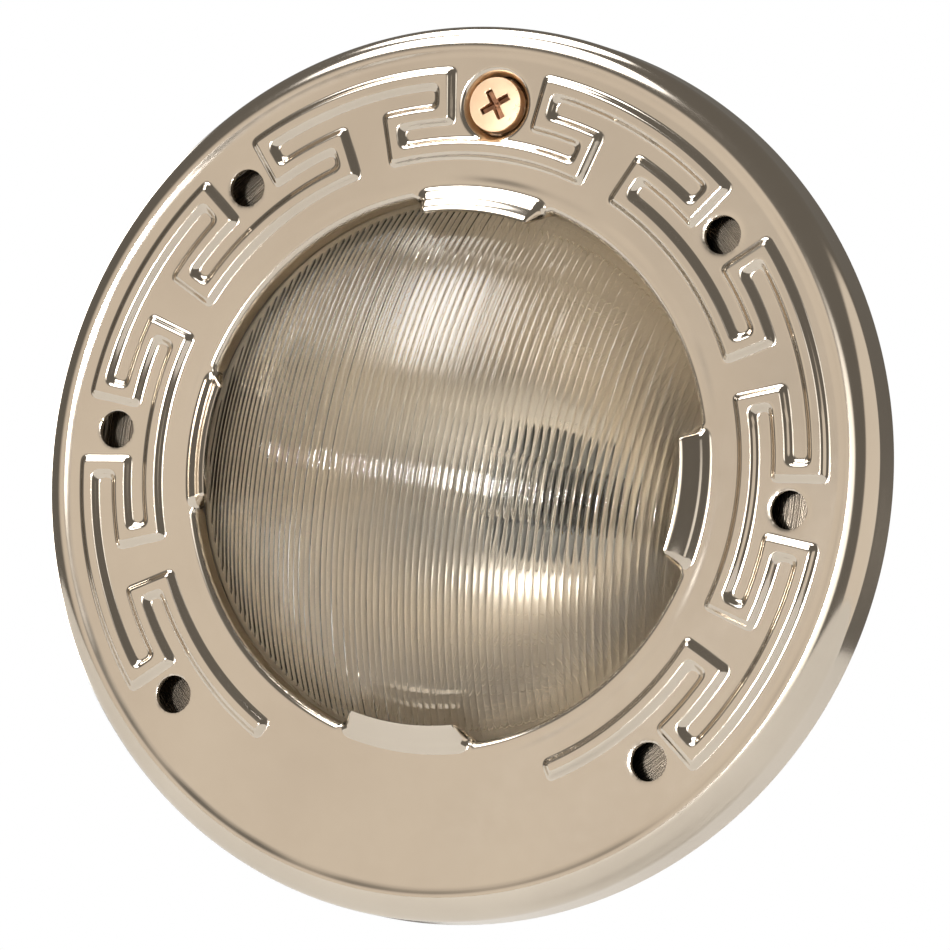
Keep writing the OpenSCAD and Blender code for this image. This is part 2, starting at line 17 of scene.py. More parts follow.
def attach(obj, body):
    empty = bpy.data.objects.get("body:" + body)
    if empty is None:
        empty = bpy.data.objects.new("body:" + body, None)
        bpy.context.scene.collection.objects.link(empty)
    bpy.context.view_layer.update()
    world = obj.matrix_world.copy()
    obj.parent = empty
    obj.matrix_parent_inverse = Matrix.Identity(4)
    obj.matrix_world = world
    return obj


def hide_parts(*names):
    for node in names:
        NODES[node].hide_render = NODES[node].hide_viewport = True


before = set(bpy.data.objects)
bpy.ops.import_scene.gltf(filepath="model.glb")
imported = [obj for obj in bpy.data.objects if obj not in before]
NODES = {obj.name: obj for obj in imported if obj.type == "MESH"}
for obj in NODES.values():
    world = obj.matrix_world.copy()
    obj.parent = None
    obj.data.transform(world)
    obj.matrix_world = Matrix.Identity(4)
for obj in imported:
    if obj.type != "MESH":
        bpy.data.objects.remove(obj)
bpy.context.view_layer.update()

MM = 0.001

# Camera, at the photograph's angle
CAMERA_AZIMUTH = 23.47
CAMERA_ELEVATION = -2.93
CAMERA_ROLL = 8.14
CAMERA_DISTANCE = 0.952
CAMERA_TARGET = Vector((0.0065, -0.011, -0.0005))
CAMERA_LENS = 198.95
SENSOR = 36.0

# Face ring, mm
RING_R = 82.5
FACE_Z = 11.0
SHEET = 1.0
RIM_BEND = 4.75
RIM_FLARE = 0.35
OPENING_R = 50.3
LIP_BEND = 1.4
LIP_Z = 6.6
HOLE_CIRCLE = 67.2
RELIEF_R = 3.5
RELIEF_ANGLES = (45, 90, 135, 225, 270, 315)
CREASE_R = 77.0
CREASE_DEPTH = 0.05
CREASE_WIDTH = 0.45
FACE_FALL = 0.010
EDGE_EASE_DEPTH = 0.09
EDGE_EASE_WIDTH = 0.3

# Cover clips pressed from the ring's lip, mm and degrees clockwise from the top
CLIP_ANGLES = (0, 90, 180, 270)
CLIP_OUT_R = 52.4
CLIP_IN_R = 47.0
CLIP_RISE = 2.7
CLIP_HALF = 12.2
CLIP_TEAR = 4.2
CLIP_PUCKER = 0.9

# Greek key, mm and degrees clockwise from the pilot screw
KEY_HOLES = (-135, -90, -45, 0, 45, 90, 135)
KEY_INNER_R = 58.9
KEY_MIDDLE_R = 65.25
KEY_OUTER_R = 72.0
KEY_FAR = 17.6
KEY_NEAR = 5.9
KEY_NEAR_PILOT = 8.5
KEY_END = 14.6
KEY_HEIGHT = 0.98
KEY_CROWN = 0.9
KEY_FOOT = 1.95
KEY_FILLET = 1.4

# Pilot screw and its pressed pocket, mm
POCKET_FLOOR_R = 5.4
POCKET_EDGE_R = 7.1
POCKET_DEPTH = 2.6
PILOT_HOLE_R = 3.1
PILOT_R = 2.7
PILOT_SHANK_R = 2.35
PILOT_END = -16.0
PILOT_THREAD = 10.0
PILOT_PITCH = 1.058
HEAD_R = 5.1
HEAD_TOP = 11.1
HEAD_BASE = 8.5
HEAD_BEVEL = 0.35
RECESS_TURN = 34.0

# Lens, mm
DOME_R = 67.0
DOME_EDGE_R = 50.0
DOME_EDGE_Z = 5.98
DOME_CENTRE = DOME_EDGE_Z - math.sqrt(DOME_R ** 2 - DOME_EDGE_R ** 2)
GLASS = 4.0
FLUTE_PITCH = 1.26
FLUTE_CROWN = 0.09
FLUTE_LEAN = 2.0
GROOVE_DEPTH = 0.12
GROOVE_HALF = 0.15
SHALLOW_GROOVE = 0.35
EDGE_FADE = 1.5
FRONT_COLUMNS = 793
FRONT_ROWS = 97
BACK_STEPS = 121
FLANGE_R = 56.0
FLANGE_FRONT = 5.2
FLANGE_BACK = 1.8
FLANGE_EASE = 0.4

# Reflector, mm
BOWL_FOOT_R = 13.0
BOWL_RIM_R = 49.0
BOWL_DEPTH = 37.0
BOWL_FOOT_Z = -38.0
BOWL_SHEET = 0.8
RIM_Z = -0.2


# ---------------------------------------------------------------- mesh helpers

def placed(points):
    """Face-frame millimetres as points of the CAD's frame, in metres."""
    p = np.asarray(points, float)
    return np.column_stack([p[:, 0], -p[:, 2], p[:, 1]]) * MM


def finished(mesh, work, materials, sharp):
    """A smooth-shaded object whose edges over an angle, in degrees, stay sharp."""
    bmesh.ops.recalc_face_normals(work, faces=work.faces)
    work.to_mesh(mesh)
    work.free()
    mesh.shade_smooth()
    mesh.set_sharp_from_angle(angle=math.radians(sharp))
    for material in materials:
        mesh.materials.append(material)
    obj = bpy.data.objects.new(mesh.name, mesh)
    bpy.context.scene.collection.objects.link(obj)
    return obj


def mesh_object(name, points, faces, materials, sharp=40.0):
    """An object made from points in metres and lists of point numbers."""
    mesh = bpy.data.meshes.new(name)
    mesh.from_pydata(points.tolist(), [], faces)
    work = bmesh.new()
    work.from_mesh(mesh)
    return finished(mesh, work, materials, sharp)


def grid_quads(rows, columns, closed=True):
    """Quads between neighbouring rows of points, as an array of four indices each."""
    across = columns if closed else columns - 1
    r, c = np.meshgrid(np.arange(rows - 1), np.arange(across), indexing="ij")
    step = (c + 1) % columns
    this_row, next_row = r * columns, (r + 1) * columns
    quads = np.stack([this_row + c, this_row + step, next_row + step, next_row + c], -1)
    return quads.reshape(-1, 4)


def smooth(t):
    """An eased step from 0 to 1 as t goes from 0 to 1."""
    t = np.clip(t, 0.0, 1.0)
    return t * t * (3 - 2 * t)


def turned(profile, steps):
    """Face-frame points of a profile of (radius, z) turned about the z axis, row by row."""
    prof = np.asarray(profile, float)
    turn = np.linspace(0, 2 * math.pi, steps, endpoint=False)
    x = prof[:, :1] * np.cos(turn)
    y = prof[:, :1] * np.sin(turn)
    z = np.repeat(prof[:, 1:], steps, axis=1)
    return np.stack([x, y, z], -1).reshape(-1, 3)


def lathe(name, profile, materials, steps=128, ring=False):
    """A solid turned from a profile of (radius, z). A ring's profile closes on itself."""
    rows = len(profile)
    points = turned(profile, steps)
    faces = grid_quads(rows, steps).tolist()
    if ring:
        last = (rows - 1) * steps
        faces += [[last + i, last + (i + 1) % steps, (i + 1) % steps, i] for i in range(steps)]
    else:
        faces.append(list(range(steps)))
        faces.append(list(range((rows - 1) * steps, rows * steps)))
    return mesh_object(name, placed(points), faces, materials)


def settle(obj, body, slot, *nodes):
    """Puts a finished piece on its body in place of the CAD nodes that it stands for."""
    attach(obj, body)
    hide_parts(*nodes)
    return obj


# ---------------------------------------------------------------- materials

class Finish:
    """A node material on a Principled shader, with short calls for the usual textures."""

    def __init__(self, name, colour, roughness, metallic=0.0):
        self.material = bpy.data.materials.new(name)
        self.material.use_nodes = True
        self.tree = self.material.node_tree
        self.shader = self.tree.nodes["Principled BSDF"]
        self.shader.inputs["Base Color"].default_value = (*colour, 1.0)
        self.shader.inputs["Roughness"].default_value = roughness
        self.shader.inputs["Metallic"].default_value = metallic
        self.place = self.add("ShaderNodeTexCoord").outputs["Object"]

    def add(self, kind, **settings):
        node = self.tree.nodes.new(kind)
        for key, value in settings.items():
            setattr(node, key, value)
        return node

    def join(self, source, target):
        self.tree.links.new(source, target)

    def math(self, operation, a, b=0.0):
        node = self.add("ShaderNodeMath", operation=operation)
        for socket, value in zip(node.inputs, (a, b)):
            if isinstance(value, (int, float)):
                socket.default_value = value
            else:
                self.join(value, socket)
        return node.outputs[0]

    def scaled(self, x, y, z):
        """Object coordinates stretched by three factors."""
        node = self.add("ShaderNodeMapping")
        node.inputs["Scale"].default_value = (x, y, z)
        self.join(self.place, node.inputs["Vector"])
        return node.outputs[0]

    def noise(self, scale, detail=4.0, rough=0.55, place=None):
        node = self.add("ShaderNodeTexNoise")
        node.inputs["Scale"].default_value = scale
        node.inputs["Detail"].default_value = detail
        node.inputs["Roughness"].default_value = rough
        self.join(place or self.place, node.inputs["Vector"])
        return node.outputs["Fac"]

    def spread(self, value, low, high, from_low=0.3, from_high=0.7):
        """A texture value carried from one span to another."""
        node = self.add("ShaderNodeMapRange")
        node.inputs["From Min"].default_value = from_low
        node.inputs["From Max"].default_value = from_high
        node.inputs["To Min"].default_value = low
        node.inputs["To Max"].default_value = high
        self.join(value, node.inputs["Value"])
        return node.outputs[0]

    def blend(self, value, first, second):
        """A colour between two, by a value from 0 to 1."""
        node = self.add("ShaderNodeMix", data_type="RGBA")
        node.inputs[6].default_value = (*first, 1.0)
        node.inputs[7].default_value = (*second, 1.0)
        self.join(value, node.inputs[0])
        return node.outputs[2]

    def colour(self, output):
        self.join(output, self.shader.inputs["Base Color"])

    def roughness(self, output):
        self.join(output, self.shader.inputs["Roughness"])

    def bump(self, output, depth_mm, strength=1.0, under=None):
        node = self.add("ShaderNodeBump")
        node.inputs["Strength"].default_value = strength
        node.inputs["Distance"].default_value = depth_mm * MM
        self.join(output, node.inputs["Height"])
        if under:
            self.join(under, node.inputs["Normal"])
        self.join(node.outputs[0], self.shader.inputs["Normal"])
        return node.outputs[0]

    def radius(self):
        """Distance from the light's axis, in metres."""
        parts = self.add("ShaderNodeSeparateXYZ")
        self.join(self.place, parts.inputs[0])
        squares = [self.math("MULTIPLY", parts.outputs[i], parts.outputs[i]) for i in (0, 2)]
        return self.math("SQRT", self.math("ADD", *squares))

    def rings(self, pitch_mm, detail=2.0):
        """Fine noise that changes only with the distance from the axis, as turning marks do."""
        place = self.add("ShaderNodeCombineXYZ")
        self.join(self.radius(), place.inputs[0])
        return self.noise(1.0 / (pitch_mm * MM), detail, place=place.outputs[0])


def ring_steel():
    """Bright stamped stainless: faint smudges, turning marks and a light scuff."""
    f = Finish("ring_steel", (0.68, 0.61, 0.525), 0.10, metallic=1.0)
    cloud = f.noise(28, 5)
    f.colour(f.blend(f.spread(cloud, 0, 1), (0.72, 0.65, 0.56), (0.64, 0.57, 0.485)))
    grain = f.noise(420, 6, 0.6)
    marks = f.rings(0.35)
    f.roughness(f.math("ADD", f.spread(f.noise(55, 4), 0.085, 0.11), f.spread(grain, 0.0, 0.02)))
    fine = f.bump(f.noise(2600, 3), 0.003, 0.3)
    f.bump(marks, 0.005, 0.3, under=fine)
    return f.material


def shell_steel():
    """Deep-drawn stainless: satin, with lines round the shell and a soft bloom."""
    f = Finish("shell_steel", (0.52, 0.485, 0.43), 0.3, metallic=1.0)
    cloud = f.noise(16, 5)
    f.colour(f.blend(f.spread(cloud, 0, 1), (0.56, 0.52, 0.46), (0.46, 0.43, 0.385)))
    lines = f.noise(300, 3, place=f.scaled(0.03, 1.0, 0.03))
    f.roughness(f.math("ADD", f.spread(cloud, 0.22, 0.32), f.spread(lines, 0.0, 0.12)))
    f.bump(lines, 0.02, 0.5)
    return f.material


def collar_painted_shade():
    """Stainless turned on a lathe: strong concentric lines, coloured far darker than the polished ring as
    painted shade for what shows through the ring's relief holes.
    """
    f = Finish("collar_painted_shade", (0.27, 0.23, 0.185), 0.26, metallic=1.0)
    lines = f.rings(0.28, 2.0)
    # Both colours are painted shade: the lines are real turning marks, but the darkness stands in for shade
    # behind the relief holes.
    f.colour(f.blend(f.spread(lines, 0, 1, 0.35, 0.65), (0.19, 0.16, 0.125), (0.09, 0.075, 0.06)))
    f.roughness(f.spread(lines, 0.2, 0.34))
    f.bump(lines, 0.05, 0.9)
    return f.material


def machined(name, colour, roughness=0.24, pitch_mm=0.12):
    """Turned or rolled metal: fine cross grain, tarnish in clouds."""
    f = Finish(name, colour, roughness, metallic=1.0)
    darker = tuple(0.72 * c for c in colour)
    cloud = f.noise(90, 5)
    f.colour(f.blend(f.spread(cloud, 0, 1, 0.38, 0.75), colour, darker))
    grain = f.noise(1.0 / (pitch_mm * MM), 3, place=f.scaled(1.0, 0.12, 1.0))
    f.roughness(f.math("ADD", f.spread(cloud, roughness * 0.8, roughness * 1.25), f.spread(grain, 0.0, 0.08)))
    f.bump(grain, 0.012, 0.5)
    return f.material


def spun_aluminium():
    """Spun reflector sheet, dulled a little and warmed by heat."""
    f = Finish("spun_aluminium", (0.84, 0.77, 0.67), 0.16, metallic=1.0)
    lines = f.rings(0.5, 3)
    f.colour(f.blend(f.spread(f.noise(24, 4), 0, 1), (0.88, 0.81, 0.71), (0.74, 0.67, 0.57)))
    f.roughness(f.spread(lines, 0.24, 0.36))
    f.bump(lines, 0.01, 0.5)
    return f.material


def glass(name, colour, roughness, index):
    """Clear pressed glass with faint pressing haze."""
    f = Finish(name, colour, roughness)
    f.shader.inputs["Transmission Weight"].default_value = 1.0
    f.shader.inputs["IOR"].default_value = index
    haze = f.noise(60, 4)
    f.roughness(f.spread(haze, roughness * 0.4, roughness * 1.8))
    f.bump(f.noise(240, 2), 0.012, 0.25)
    return f.material


def rubber(name, colour, roughness=0.62):
    """Moulded rubber with a dusty bloom."""
    f = Finish(name, colour, roughness)
    bloom = f.noise(180, 5)
    paler = tuple(min(1.0, 1.5 * c + 0.02) for c in colour)
    f.colour(f.blend(f.spread(bloom, 0, 1, 0.45, 0.8), colour, paler))
    f.roughness(f.spread(bloom, roughness - 0.1, roughness + 0.12))
    f.bump(f.noise(2200, 4), 0.03, 0.5)
    return f.material


def sleeving(name, colour):
    """Varnished braid over a lead: two crossed sets of fine strands."""
    f = Finish(name, colour, 0.45)
    braid = f.add("ShaderNodeTexVoronoi", feature="F1", distance="CHEBYCHEV")
    braid.inputs["Scale"].default_value = 2400
    f.join(f.place, braid.inputs["Vector"])
    darker = tuple(0.55 * c for c in colour)
    f.colour(f.blend(f.spread(braid.outputs["Distance"], 0, 1, 0.1, 0.6), colour, darker))
    f.roughness(f.spread(braid.outputs["Distance"], 0.35, 0.6, 0.1, 0.6))
    f.bump(braid.outputs["Distance"], 0.06, 0.6)
    return f.material


def glazed(name, colour, roughness):
    """Glazed ceramic or glass with pinholes and a slightly wavy surface."""
    f = Finish(name, colour, roughness)
    f.shader.inputs["Coat Weight"].default_value = 0.4
    cloud = f.noise(70, 5)
    darker = tuple(0.86 * c for c in colour)
    f.colour(f.blend(f.spread(cloud, 0, 1, 0.4, 0.7), colour, darker))
    f.roughness(f.spread(cloud, roughness * 0.8, roughness * 1.5))
    f.bump(f.noise(420, 3), 0.02, 0.4)
    return f.material


def moulded(name, colour, roughness=0.42):
    """Moulded plastic with a fine grain."""
    f = Finish(name, colour, roughness)
    grain = f.noise(1500, 4)
    darker = tuple(0.82 * c for c in colour)
    f.colour(f.blend(f.spread(f.noise(120, 4), 0, 1), colour, darker))
    f.roughness(f.spread(grain, roughness - 0.06, roughness + 0.1))
    f.bump(grain, 0.02, 0.5)
    return f.material


def recess_brown():
    """The dark, oxidised bronze inside the screw's cross and under its edge."""
    f = Finish("recess_brown", (0.21, 0.10, 0.055), 0.42, metallic=1.0)
    f.colour(f.blend(f.spread(f.noise(900, 4), 0, 1), (0.26, 0.125, 0.07), (0.12, 0.06, 0.035)))
    f.bump(f.noise(1800, 3), 0.03, 0.5)
    return f.material


def make_finishes():
    """One material for each slot of the record."""
    return {
        "stainless_ring": ring_steel(),
        "stainless_shell": shell_steel(),
        "stainless_fasteners": machined("fastener_steel", (0.6, 0.575, 0.53)),
        "copper_alloy_screw": machined("screw_bronze", (0.80, 0.57, 0.38), 0.28, 0.9),
        "gum_rubber": rubber("gum_rubber", (0.025, 0.025, 0.025)),
        "silicone": rubber("silicone", (0.17, 0.155, 0.13), 0.4),
        "lens_glass": glass("lens_glass", (0.985, 0.965, 0.925), 0.012, 1.48),
        "quartz": glass("quartz", (0.99, 0.99, 0.99), 0.006, 1.46),
        "tungsten": machined("tungsten", (0.24, 0.235, 0.23), 0.4),
        "reflector_aluminium": spun_aluminium(),
        "nickel_shell": machined("nickel_shell", (0.66, 0.62, 0.54), 0.22),
        "vitrite": glazed("vitrite", (0.012, 0.010, 0.016), 0.12),
        "porcelain": glazed("porcelain", (0.80, 0.775, 0.70), 0.16),
        "brass": machined("brass", (0.74, 0.54, 0.26), 0.26),
        "bond_copper": machined("bond_copper", (0.66, 0.41, 0.25), 0.4, 0.4),
        "black_sleeving": sleeving("black_sleeving", (0.03, 0.03, 0.03)),
        "white_sleeving": sleeving("white_sleeving", (0.72, 0.70, 0.63)),
        "green_sleeving": sleeving("green_sleeving", (0.035, 0.22, 0.07)),
        "cap_plastic": moulded("cap_plastic", (0.42, 0.385, 0.32)),
        "green_zinc": machined("green_zinc", (0.10, 0.34, 0.15), 0.34),
    }


FINISHES = make_finishes()


# ---------------------------------------------------------------- face ring

def lip_profile(steps):
    """(radius, z) of the opening's rolled lip, from its rear edge to the flat face."""
    low = FACE_Z - LIP_BEND
    wall = np.linspace(LIP_Z, low, steps // 2, endpoint=False)
    turn = np.linspace(0, math.pi / 2, steps - len(wall))
    bend_r = OPENING_R + LIP_BEND - LIP_BEND * np.cos(turn)
    bend_z = low + LIP_BEND * np.sin(turn)
    return np.concatenate([np.full(len(wall), OPENING_R), bend_r]), np.concatenate([wall, bend_z])


def clip_profile(steps):
    """(radius, z) of a clip's pad, from its raised inner edge to the flat face."""
    t = np.linspace(0, 1, steps)
    radius = CLIP_IN_R + (CLIP_OUT_R - CLIP_IN_R) * t
    rise = 0.72 * (1 - smooth(t * 1.5)) + 0.28 * (1 - smooth((t - 0.62) * 3.2))
    return radius, FACE_Z + CLIP_RISE * rise


def clip_share(angles):
    """1 within a clip, 0 on the lip, for angles in degrees."""
    gap = np.min([np.abs((angles - a + 180) % 360 - 180) for a in CLIP_ANGLES], axis=0)
    return 1 - smooth((gap - CLIP_HALF) / CLIP_TEAR)


def run_distance(radius, angle, run_r, start, stop):
    """Distance to an arc of the key at one radius."""
    half = math.radians(stop - start) / 2 * run_r
    along = np.abs(np.radians(angle - (start + stop) / 2)) * run_r - half
    return corner_distance(along, radius - run_r)


def riser_distance(radius, angle, at_angle, inner, outer):
    """Distance to a radial step of the key."""
    along = np.abs(radius - (inner + outer) / 2) - (outer - inner) / 2
    return corner_distance(along, np.radians(angle - at_angle) * radius)


def corner_distance(along, across):
    """Distance from a stretch of the key, with small rounds at its end, and True beside the stretch."""
    power = 4.0
    past = np.maximum(along, 0.0)
    return (past ** power + np.abs(across) ** power) ** (1 / power), along <= 0


def joined(stretches):
    """The nearest stretch's distance, with a fillet in each inner corner of two stretches."""
    distance = np.stack([d for d, _ in stretches])
    beside = np.stack([b for _, b in stretches])
    order = np.argpartition(distance, 1, axis=0)[:2]
    first, second = np.take_along_axis(distance, order, 0)
    both = np.take_along_axis(beside, order, 0).all(0)
    near = np.maximum(KEY_FILLET - np.abs(first - second), 0.0)
    return np.minimum(first, second) - near ** 2 / (4 * KEY_FILLET) * both


def key_near(hole):
    """Degrees from a hole to the risers beside it, wider round the pilot screw."""
    return KEY_NEAR_PILOT if hole == 0 else KEY_NEAR


def key_distance(radius, angle):
    """Distance of each point from the Greek key's centre line; angle is from -180 to 180."""
    found = []
    first, last = KEY_HOLES[0], KEY_HOLES[-1]
    for hole in KEY_HOLES:
        start = hole - (KEY_END if hole == first else KEY_FAR)
        stop = hole + (KEY_END if hole == last else KEY_FAR)
        found.append(run_distance(radius, angle, KEY_INNER_R, start, stop))
        for side in (-1, 1):
            if (hole, side) in ((first, -1), (last, 1)):
                continue
            far = hole + side * KEY_FAR
            near = hole + side * key_near(hole)
            low, high = sorted((far, near))
            found.append(riser_distance(radius, angle, far, KEY_INNER_R, KEY_MIDDLE_R))
            found.append(run_distance(radius, angle, KEY_MIDDLE_R, low, high))
            found.append(riser_distance(radius, angle, near, KEY_MIDDLE_R, KEY_OUTER_R))
    for hole, after in zip(KEY_HOLES, KEY_HOLES[1:]):
        start, stop = hole + key_near(hole), after - key_near(after)
        found.append(run_distance(radius, angle, KEY_OUTER_R, start, stop))
    return joined(found)


def key_height(distance):
    """Flat crown, sloped sides, and small rounds where they meet."""
    t = np.clip((KEY_FOOT - distance) / (KEY_FOOT - KEY_CROWN), 0, 1)
    return KEY_HEIGHT * (0.25 * smooth(t) + 0.75 * t)


def pocket_sink(x, y):
    """Depth of the pressed pocket round the pilot screw."""
    reach = np.hypot(x, y - HOLE_CIRCLE)
    t = np.clip((reach - POCKET_FLOOR_R) / (POCKET_EDGE_R - POCKET_FLOOR_R), 0, 1)
    return -POCKET_DEPTH * (1 - t) ** 2.4


def sheet_waves(x, y):
    """Slow unevenness that pressing leaves in the flat sheet, mm."""
    return (0.060 * np.sin(0.11 * x + 1.1) * np.sin(0.09 * y + 0.4)
            + 0.020 * np.sin(0.31 * x - 0.17 * y) + 0.016 * np.cos(0.24 * y + 0.21 * x + 2.0))


def face_press(x, y):
    """The face's slight fall towards its rim, the crease before the roll, and the eased hole edges, mm."""
    radius = np.hypot(x, y)
    crease = CREASE_DEPTH * np.exp(-((radius - CREASE_R) / CREASE_WIDTH) ** 2)
    press = -FACE_FALL * (radius - OPENING_R) - crease
    for (hole_x, hole_y), hole_r in ring_holes()[1:]:
        reach = np.hypot(x - hole_x, y - hole_y) - hole_r
        press -= EDGE_EASE_DEPTH * np.exp(-np.maximum(reach, 0.0) / EDGE_EASE_WIDTH)
    return press


def ring_profile(angles, lip_steps=18, flat_steps=84, bend_steps=20, skirt_steps=6):
    """Radius and z of the ring's front skin for each angle, from the opening to the rear rim."""
    lip_r, lip_z = lip_profile(lip_steps)
    clip_r, clip_z = clip_profile(lip_steps)
    share = clip_share(angles)[:, None]
    edge_r = lip_r * (1 - share) + clip_r * share
    edge_z = lip_z * (1 - share) + clip_z * share
    pucker = CLIP_PUCKER * np.exp(-((share - 0.22) / 0.16) ** 2) * np.linspace(1, 0, lip_steps) ** 1.2
    edge_z = edge_z + pucker
    bend_r = RING_R - RIM_FLARE - RIM_BEND
    flat = np.linspace(0, 1, flat_steps + 1)[1:]
    flat_r = edge_r[:, -1:] + (bend_r - edge_r[:, -1:]) * flat
    turn = np.linspace(0, math.pi / 2, bend_steps + 1)[1:]
    corner_r = np.broadcast_to(bend_r + RIM_BEND * np.sin(turn), (len(angles), bend_steps))
    corner_z = np.broadcast_to(FACE_Z - RIM_BEND + RIM_BEND * np.cos(turn), corner_r.shape)
    drop = np.linspace(0, 1, skirt_steps + 1)[1:]
    skirt_r = np.broadcast_to(RING_R - RIM_FLARE * (1 - drop), (len(angles), skirt_steps))
    skirt_z = np.broadcast_to((FACE_Z - RIM_BEND) * (1 - drop), skirt_r.shape)
    radius = np.concatenate([edge_r, flat_r, corner_r, skirt_r], 1)
    z = np.concatenate([edge_z, np.full_like(flat_r, FACE_Z), corner_z, skirt_z], 1)
    return radius, z


def cut_round(points, quads, centre, hole_r):
    """Opens a round hole: True for the quads that stay, with the edge's points moved onto the circle."""
    offset = points[:, :2] - centre
    reach = np.hypot(*offset.T)
    inside = reach[quads].mean(1) < hole_r
    rim = np.intersect1d(quads[inside], quads[~inside])
    points[rim, :2] = centre + offset[rim] * (hole_r / reach[rim])[:, None]
    return ~inside


def ring_holes():
    """Centre and radius of each hole through the ring's face."""
    holes = [((0.0, HOLE_CIRCLE), PILOT_HOLE_R)]
    for angle in RELIEF_ANGLES:
        a = math.radians(angle)
        holes.append(((HOLE_CIRCLE * math.sin(a), HOLE_CIRCLE * math.cos(a)), RELIEF_R))
    return holes


def edge_walls(quads, shift):
    """Quads that join the free edges of one skin to the same edges of the other."""
    edges = np.concatenate([quads[:, [i, (i + 1) % 4]] for i in range(4)])
    _, back, count = np.unique(np.sort(edges, 1), axis=0, return_inverse=True, return_counts=True)
    free = edges[count[back.ravel()] == 1]
    return np.column_stack([free[:, 1], free[:, 0], free[:, 0] + shift, free[:, 1] + shift])


def spoke_quads(spokes, rows):
    """Quads between neighbouring spokes of points, the last joined to the first."""
    spoke, row = np.meshgrid(np.arange(spokes), np.arange(rows - 1), indexing="ij")
    here, beyond = spoke * rows + row, (spoke + 1) % spokes * rows + row
    return np.stack([here, here + 1, beyond + 1, beyond], -1).reshape(-1, 4)


def build_face_ring(columns=1260):
    """The stamped ring: a front and a back skin a sheet apart, joined round the edges and holes."""
    angles = np.arange(columns) * 360.0 / columns - 180.0
    radius, z = ring_profile(angles)
    run_r, run_z = np.gradient(radius, axis=1), np.gradient(z, axis=1)
    length = np.hypot(run_r, run_z)
    back_r = radius + SHEET * run_z / length
    back_z = z - SHEET * run_r / length
    turn = np.radians(angles)[:, None]
    x, y = radius * np.sin(turn), radius * np.cos(turn)
    wide = np.broadcast_to(angles[:, None], radius.shape)
    on_flat = smooth((radius - 52.5) / 1.5) * smooth((RING_R - RIM_BEND - radius) / 2.0)
    slow = (sheet_waves(x, y) + face_press(x, y)) * on_flat
    pressed = key_height(key_distance(radius, wide)) + pocket_sink(x, y)
    lift = slow + np.where((radius > 54) & (radius < RING_R - RIM_BEND), pressed, 0.0)
    front = np.stack([x, y, z + lift], -1).reshape(-1, 3)
    back = np.stack([back_r * np.sin(turn), back_r * np.cos(turn), back_z + lift], -1).reshape(-1, 3)
    rows = radius.shape[1]
    quads = spoke_quads(columns, rows)
    for centre, hole_r in ring_holes():
        centre = np.array(centre)
        kept = cut_round(front, quads, centre, hole_r)
        cut_round(back, quads, centre, hole_r)
        quads = quads[kept]
    shift = len(front)
    faces = np.concatenate([quads, quads[:, ::-1] + shift, edge_walls(quads, shift)])
    points = np.concatenate([front, back])
    used, renumbered = np.unique(faces, return_inverse=True)
    faces = renumbered.reshape(faces.shape)
    obj = mesh_object("ring_shell", placed(points[used]), faces.tolist(), [FINISHES["stainless_ring"]], 55.0)
    return settle(obj, "light", "stainless_ring", "face_ring")


# ---------------------------------------------------------------- lens

def dome_height(x, y, radius):
    """Level of the dome's sphere, for its front or its back."""
    return DOME_CENTRE + np.sqrt(radius ** 2 - x ** 2 - y ** 2)


def flute(x):
    """Depth of the fluting below the dome's sphere: flat-crowned flutes, every second groove shallower."""
    to_groove = np.abs(x / FLUTE_PITCH - np.round(x / FLUTE_PITCH)) * FLUTE_PITCH
    share = 1.0 - SHALLOW_GROOVE * (np.round(x / FLUTE_PITCH) % 2)
    groove = GROOVE_DEPTH * np.exp(-(to_groove / GROOVE_HALF) ** 2)
    return share * (groove + FLUTE_CROWN * (1 - 2 * to_groove / FLUTE_PITCH) ** 2)


def flute_columns(reach, columns):
    """Places across the dome, closer together in the grooves."""
    u = np.linspace(-1.0, 1.0, columns) * reach * 0.997 / FLUTE_PITCH
    return FLUTE_PITCH * (u - 0.5 * np.sin(2 * math.pi * u) / (2 * math.pi))


def dome_skin(reach, fluted, columns, rows):
    """Points of a round cap laid out in columns along the flutes."""
    across = reach * np.sin(np.linspace(-0.5, 0.5, columns) * math.pi * 0.995)
    if fluted:
        across = flute_columns(reach, columns)
    span = np.sqrt(reach ** 2 - across ** 2)
    along = np.sin(np.linspace(-0.5, 0.5, rows) * math.pi)
    x = np.repeat(across[:, None], rows, 1)
    y = span[:, None] * along[None, :]
    lean = math.radians(-FLUTE_LEAN)
    return x, y, x * math.cos(lean) - y * math.sin(lean), x * math.sin(lean) + y * math.cos(lean)


def lens_front():
    """Points of the fluted front cap. The flutes fade out at its edge."""
    x, y, turned_x, turned_y = dome_skin(DOME_EDGE_R, True, FRONT_COLUMNS, FRONT_ROWS)
    edge = smooth((DOME_EDGE_R - np.hypot(x, y)) / EDGE_FADE)
    z = dome_height(x, y, DOME_R) - flute(x) * edge
    return np.stack([turned_x, turned_y, z], -1).reshape(-1, 3)


def lens_back(reach):
    """Points of the smooth rear cap."""
    x, y, turned_x, turned_y = dome_skin(reach, False, BACK_STEPS, BACK_STEPS)
    z = dome_height(x, y, DOME_R - GLASS)
    return np.stack([turned_x, turned_y, z], -1).reshape(-1, 3)


def flange_profile(inner_reach):
    """(radius, z) round the flange, from the front cap's edge to the rear cap's."""
    outer, front, back = FLANGE_R - FLANGE_EASE, FLANGE_FRONT - FLANGE_EASE, FLANGE_BACK + FLANGE_EASE
    return [(DOME_EDGE_R + 0.6, FLANGE_FRONT), (outer, FLANGE_FRONT), (FLANGE_R, front),
            (FLANGE_R, back), (outer, FLANGE_BACK), (inner_reach + 0.2, FLANGE_BACK)]


def add_cap(work, points, columns, rows, flip):
    """Adds a cap to a mesh in progress, and gives the points round its edge."""
    verts = [work.verts.new(p) for p in placed(points)]
    for quad in grid_quads(columns, rows, closed=False).tolist():
        work.faces.new([verts[i] for i in (quad[::-1] if flip else quad)])
    top = [verts[i * rows] for i in range(columns)]
    bottom = [verts[i * rows + rows - 1] for i in range(columns)]
    return verts[:rows] + bottom[1:] + verts[(columns - 1) * rows:-1][::-1] + top[1:-1][::-1]


